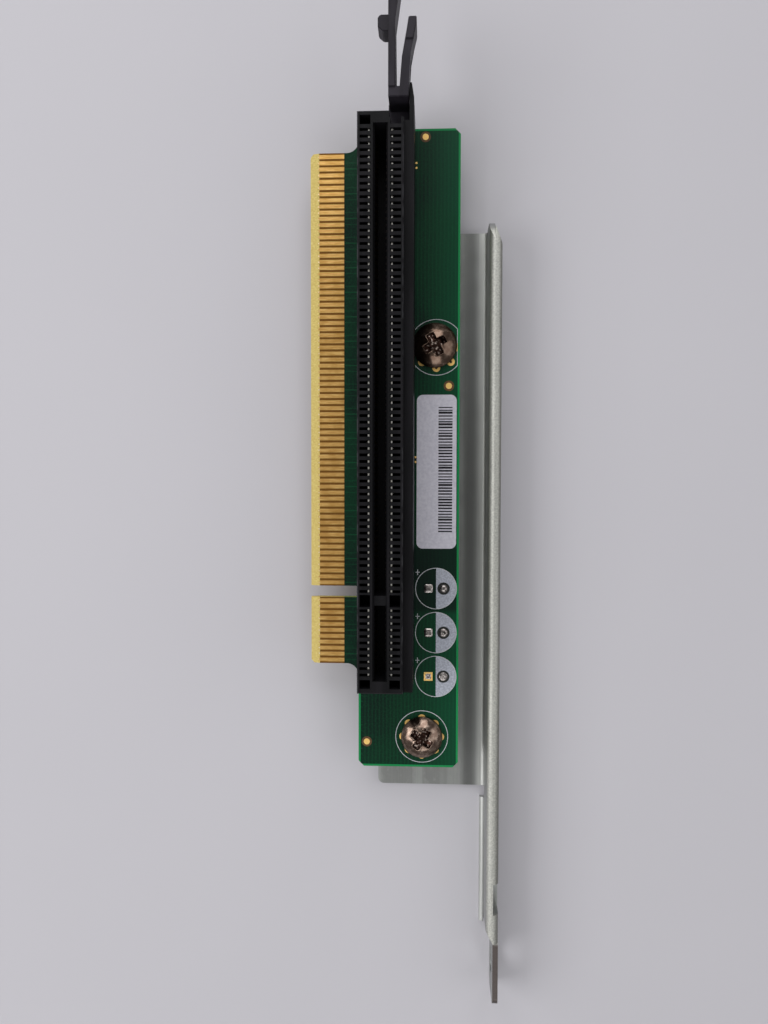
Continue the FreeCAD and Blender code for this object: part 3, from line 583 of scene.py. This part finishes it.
for name, (head, right, up, turn) in HEADS.items():
    low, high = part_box(name)
    cx, cy = (low.x + high.x) / 2 / MM, (low.y + high.y) / 2 / MM
    top, foot = high.z / MM, low.z / MM
    seat = top - HEAD_HEIGHT
    rise = HEAD_HEIGHT - HEAD_RIM
    hx, hy = cx + right, cy + up
    dome = (head ** 2 + rise ** 2) / (2 * rise)
    mesh = bmesh.new()
    profile = [(cx, cy, foot, SHANK - 0.25), (cx, cy, foot + 0.3, SHANK), (cx, cy, seat, SHANK),
               (hx, hy, seat, head - 0.12), (hx, hy, seat + 0.12, head),
               (hx, hy, seat + HEAD_RIM, head)]
    loops = [circle(*row, HEAD_SIDES) for row in profile]
    for k in range(1, HEAD_RINGS):
        radius = head * (1 - k / HEAD_RINGS)
        level = top - (dome - math.sqrt(dome ** 2 - radius ** 2))
        loop = circle(hx, hy, level, radius, HEAD_SIDES)
        for point in loop:
            point.z -= recess_at(point.x - hx, point.y - hy, turn)
        loops.append(loop)
    rows = join_loops(mesh, loops)
    mesh.faces.new(rows[0][::-1])
    centre = mesh.verts.new((hx, hy, top - recess_at(0, 0, turn)))
    for i in range(HEAD_SIDES):
        mesh.faces.new((rows[-1][i], rows[-1][(i + 1) % HEAD_SIDES], centre))
    screw = new_piece(name.replace("board_screw", "screw_dressed"), mesh, nickel_finish,
                      smooth=True)
    screw.data.materials.append(recess_finish)
    for polygon in screw.data.polygons:
        x, y = polygon.center.x / MM - hx, polygon.center.y / MM - hy
        if math.hypot(x, y) < RECESS_ZONE and recess_at(x, y, turn) > 0.12:
            polygon.material_index = 1
    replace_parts(screw, name)


# ---------------------------------------------------------------- solder
# Tin solder: a fillet round each contact tail on the back of the board, and a pool on
# each land of the three capacitors that were never fitted.

solder_finish, solder_shader, place, facing = new_finish("tin_solder", Metallic=1.0)
frost = place.noise(3.0, 4.0)
behind = 1 - place.axes()[2].ease(BOARD_BACK, BOARD_TOP)
tin = frost.ease(0.35, 0.7).blend(paint(128, 120, 118), paint(204, 198, 194))
tin = behind.blend(tin, frost.blend(paint(196, 196, 194), paint(226, 226, 224)))
feed(solder_shader, Base_Color=tin, Roughness=0.16 + frost * 0.3 + behind * 0.25,
     Normal=relief(frost, 0.03))


def pool(mesh, cx, cy, power, half, height, dimple):
    """Pool of solder on a round land (power 2) or a square one (power 6)."""
    loops = []
    for k in range(-1, 14):
        share = 1 - max(k, 0) / 14
        sunk = dimple * max(1 - (share / 0.5) ** 2, 0)
        level = BOARD_TOP if k < 0 else BOARD_TOP + 0.04 + height * (1 - share ** 3) - sunk
        loop = circle(0, 0, level, 1, 48)
        for point in loop:
            reach = half * share / (abs(point.x) ** power + abs(point.y) ** power) ** (1 / power)
            point.x, point.y = cx + point.x * reach, cy + point.y * reach
        loops.append(loop)
    mesh.faces.new(join_loops(mesh, loops)[-1])


LEAD = 1.25             # from a capacitor's centre to each of its leads
CAPACITOR_PITCH = 7.37
SQUARE_LAND = 0.72      # half its side
square_low, square_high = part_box("square_solder_lands")
cap_x = (square_low.x + square_high.x) / 2 / MM + LEAD
capacitor_rows = [CAPACITOR_TOP - CAPACITOR_PITCH * row for row in range(3)]
# Each pool from the top: half width, height, and depth of its dimple.
SQUARE_POOLS = ((SQUARE_LAND, 0.14, 0.0), (SQUARE_LAND, 0.2, 0.04), (0.46, 0.1, 0.05))
ROUND_POOLS = ((ROUND_LAND, 0.34, 0.0), (ROUND_LAND, 0.2, 0.26), (ROUND_LAND, 0.12, 0.16))
squares, rounds = bmesh.new(), bmesh.new()
for cy, square, disc in zip(capacitor_rows, SQUARE_POOLS, ROUND_POOLS):
    pool(squares, cap_x - LEAD, cy, 6, *square)
    pool(rounds, cap_x + LEAD, cy, 2, *disc)
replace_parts(new_piece("square_pools", squares, solder_finish, smooth=True),
            "square_solder_lands")
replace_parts(new_piece("round_pools", rounds, solder_finish, smooth=True),
            "round_solder_lands")

# The lowest square land took little solder, so its gold shows.
mesh = bmesh.new()
slab(mesh, rectangle(cap_x - LEAD, capacitor_rows[2], SQUARE_LAND, SQUARE_LAND),
     BOARD_TOP, BOARD_TOP + 0.035)
new_piece("bare_square_land", mesh, gold_finish)

# Fillet round a tail: radius and depth under the board.
FILLET = ((0.4, 0.0), (0.33, 0.1), (0.23, 0.3), (0.18, 0.62), (0.14, 0.88), (0.07, 0.97))
JOINT_SIDES = 10
TAILS = (1.46, 2.86)    # the tails of a row stand in two lines

for side, name in ((-1, "solder_joints_left"), (1, "solder_joints_right")):
    mesh = bmesh.new()
    for places in (long_places, short_places):
        for i, y in enumerate(places):
            x = side * TAILS[i % 2]
            loops = [circle(x, y, BOARD_BACK - down, radius, JOINT_SIDES)
                     for radius, down in FILLET]
            rows = join_loops(mesh, loops)
            mesh.faces.new(rows[0])
            mesh.faces.new(rows[-1])
    joints = new_piece(name + "_dressed", mesh, solder_finish, smooth=True)
    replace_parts(joints, name)


# ---------------------------------------------------------------- white print
# Epoxy ink screened on the mask: a ring round each screw, an outline, a filled half
# and a plus mark for each capacitor. Where it meets the edge, a ring runs straight.

INK_LOW = BOARD_TOP + 0.004
INK_HIGH = BOARD_TOP + 0.024
LINE = 0.1

ink_finish, ink_shader, place, facing = new_finish("screen_ink", Specular_IOR_Level=0.4)
speckle = place.noise(4.5, 3.0)
ink = speckle.ease(0.35, 0.7).blend(paint(178, 180, 186), paint(208, 210, 214))
feed(ink_shader, Base_Color=ink, Roughness=0.5 + speckle * 0.2, Normal=relief(speckle, 0.006))
fill_finish, fill_shader, place, facing = new_finish("screen_ink_fill", Specular_IOR_Level=0.4)
speckle = place.noise(3.5, 3.0)
fill = speckle.ease(0.35, 0.7).blend(paint(156, 160, 172), paint(184, 188, 200))
feed(fill_shader, Base_Color=fill, Roughness=0.5 + speckle * 0.2, Normal=relief(speckle, 0.008))


def printed_circle(mesh, cx, cy, radius):
    """Full circle in one line's width of ink."""
    layer(mesh, arc(cx, cy, radius - LINE, 0, FULL_TURN, 128),
          arc(cx, cy, radius, 0, FULL_TURN, 128), INK_LOW, INK_HIGH)


UPPER_RING = 4.6
LOWER_RING = 4.4
RING_LIMIT = 12.1       # where the upper ring turns straight beside the board's edge
FULL_TURN = 357.2       # last of 128 points on a closed circle
cx, cy = UPPER_SCREW
reach = math.degrees(math.acos((RAIL_RIGHT + 0.05 - cx) / UPPER_RING))
mesh = bmesh.new()
layer(mesh, arc(cx, cy, UPPER_RING - LINE, -reach, reach, 128, RING_LIMIT - LINE),
      arc(cx, cy, UPPER_RING, -reach, reach, 128, RING_LIMIT), INK_LOW, INK_HIGH, closed=False)
new_piece("upper_screw_ring", mesh, ink_finish)
mesh = bmesh.new()
printed_circle(mesh, *LOWER_SCREW, LOWER_RING)
new_piece("lower_screw_ring", mesh, ink_finish)

OUTLINE = 3.45
CLEAR = 1.04            # radius that the print leaves clear round a land
PLUS_X = 5.64
PLUS_RISE = 2.7
for row, cy in enumerate(capacitor_rows, 1):
    mesh = bmesh.new()
    printed_circle(mesh, cap_x, cy, OUTLINE)
    for wide, tall in ((0.34, 0.055), (0.055, 0.46)):
        slab(mesh, rectangle(PLUS_X, cy + PLUS_RISE, wide, tall), INK_LOW, INK_HIGH)
    new_piece("capacitor_outline_%d" % row, mesh, ink_finish)

    # The filled half runs from the land's clear circle out to the outline.
    mesh = bmesh.new()
    pad_x = cap_x + LEAD
    inner, outer = [], []
    for i in range(144):
        angle = 2 * math.pi * i / 144
        dx, dy = math.cos(angle), math.sin(angle)
        inner.append((pad_x + CLEAR * dx, cy + CLEAR * dy))
        along = LEAD * dx
        distance = -along + math.sqrt(along ** 2 - LEAD ** 2 + (OUTLINE - LINE) ** 2)
        if dx < 0:
            distance = min(distance, LEAD / -dx)
        outer.append((pad_x + distance * dx, cy + distance * dy))
    layer(mesh, inner, outer, INK_LOW, INK_HIGH - 0.003)
    new_piece("capacitor_half_%d" % row, mesh, fill_finish)


# ---------------------------------------------------------------- mask openings
# Round windows in the solder mask, dark round the capacitors' lands and brown round
# the alignment dots, where the bare laminate shows.

dark_finish, dark_shader, place, facing = new_finish("mask_window_dark")
fibre = place.noise(4.0, 2.0)
feed(dark_shader, Base_Color=fibre.ease(0.3, 0.7).blend(paint(10, 14, 12), paint(22, 28, 24)),
     Roughness=0.5 + fibre * 0.2, Normal=relief(fibre, 0.006))
brown_finish, brown_shader, place, facing = new_finish("mask_window_brown")
fibre = place.noise(4.0, 2.0)
feed(brown_shader, Base_Color=fibre.ease(0.3, 0.7).blend(paint(74, 48, 22), paint(104, 68, 30)),
     Roughness=0.5 + fibre * 0.2, Normal=relief(fibre, 0.006))

DOTS = ((6.73, 74.45), (10.68, 34.1), (-2.81, -25.3))       # centres of the alignment dots


def window(mesh, cx, cy, inner, outer):
    """Flat ring of bare laminate just over the mask."""
    layer(mesh, arc(cx, cy, inner, 0, 354, 60), arc(cx, cy, outer, 0, 354, 60),
          INK_LOW, INK_LOW + 0.008)


mesh = bmesh.new()
for cy in capacitor_rows:
    window(mesh, cap_x + LEAD, cy, ROUND_LAND - 0.01, CLEAR)
new_piece("land_windows", mesh, dark_finish)
mesh = bmesh.new()
for cx, cy in DOTS:
    window(mesh, cx, cy, 0.5, 0.85)
new_piece("dot_windows", mesh, brown_finish)


# ---------------------------------------------------------------- paper label
# Coated paper with rounded corners, pressed on beside the upper screw. Its print is
# a plain row of bars.

BAR_STEPS = 2.1         # bars to a millimetre
BARS_LEFT, BARS_RIGHT, BARS_LOW, BARS_HIGH = 9.0, 11.3, 9.7, 30.8

label_finish, label_shader, place, facing = new_finish("label_paper", Specular_IOR_Level=0.3)
x, y, z = place.axes()
fibre = place.noise(2.5, 4.0)
paper = fibre.ease(0.3, 0.7).blend(paint(196, 194, 206), paint(210, 208, 218))
count = y * BAR_STEPS
which = count.math("FLOOR", count)
width = which.node("TexWhiteNoise", {"noise_dimensions": "1D"}, {"W": which}, 0)
dark = (count % 1.0) < (width * 0.46 + 0.34)
bars = dark * (x > BARS_LEFT) * (x < BARS_RIGHT) * (y > BARS_LOW) * (y < BARS_HIGH)
bars = bars * (z > BOARD_TOP + 0.09)
paper = bars.blend(paper, paint(26, 24, 30))
feed(label_shader, Base_Color=paper, Roughness=0.48 + fibre * 0.16, Normal=relief(fibre, 0.006))
dress(label_finish, "serial_label")


# ---------------------------------------------------------------- table, light, camera
# A pale table top under the flange, four large soft lamps round it about 40 degrees
# up, and the camera above, square to the board within a few degrees.

mesh = bmesh.new()
join_loops(mesh, [[Vector((-900, -900, 0)), Vector((900, -900, 0))],
                  [Vector((-900, 900, 0)), Vector((900, 900, 0))]], closed=False)
table_data = bpy.data.meshes.new("table_top")
bmesh.ops.transform(mesh, matrix=Matrix.Scale(MM, 4), verts=mesh.verts)
mesh.to_mesh(table_data)
mesh.free()
table = bpy.data.objects.new("table_top", table_data)
table.location.z = -0.00002
bpy.context.scene.collection.objects.link(table)
table_finish, table_shader, place, facing = new_finish("table_top", Roughness=0.85)
feed(table_shader, Base_Color=place.noise(0.02).blend(paint(192, 190, 196), paint(196, 194, 200)))
table_data.materials.append(table_finish)

# Each lamp: its bearing and height in degrees, and its power.
LAMPS = (("left", 180, 42, 1.3), ("right", 0, 38, 0.38),
         ("top", 90, 40, 0.95), ("near", 270, 40, 0.6))
LAMP_DISTANCE = 0.5
for name, bearing, height, power in LAMPS:
    data = bpy.data.lights.new("lamp_" + name, "AREA")
    data.shape, data.size, data.size_y, data.energy = "RECTANGLE", 0.42, 0.3, power
    lamp = bpy.data.objects.new("lamp_" + name, data)
    turn, lift = math.radians(bearing), math.radians(height)
    lamp.location = Vector((math.cos(turn) * math.cos(lift), math.sin(turn) * math.cos(lift),
                            math.sin(lift))) * LAMP_DISTANCE
    lamp.rotation_euler = (-lamp.location).to_track_quat("-Z", "Y").to_euler()
    bpy.context.scene.collection.objects.link(lamp)

world = bpy.data.worlds.new("studio")
bpy.context.scene.world = world
world.use_nodes = True
sky = world.node_tree.nodes["Background"]
sky.inputs["Color"].default_value = (1.0, 1.0, 1.0, 1.0)
light_path = world.node_tree.nodes.new("ShaderNodeLightPath")
seen = Link(world.node_tree, light_path.outputs["Is Camera Ray"])
world.node_tree.links.new((seen * 0.4 + 0.25).socket, sky.inputs["Strength"])

CAMERA_PLACE = (8.01, 19.33, 152.21)
camera_data = bpy.data.cameras.new("camera")
camera_data.lens, camera_data.sensor_width = 30.91, 36.0
camera_data.clip_start = 0.01
camera = bpy.data.objects.new("camera", camera_data)
right = Vector((0.9985, 0.0015, -0.0548))
back = Vector((0.0547, 0.0413, 0.9977)).normalized()
up = back.cross(right).normalized()
right = up.cross(back)
axes = Matrix((right, up, back)).transposed().to_4x4()
camera.matrix_world = Matrix.Translation(Vector(CAMERA_PLACE) * MM) @ axes
bpy.context.scene.collection.objects.link(camera)
bpy.context.scene.camera = camera
bpy.context.scene.view_settings.view_transform = "Standard"
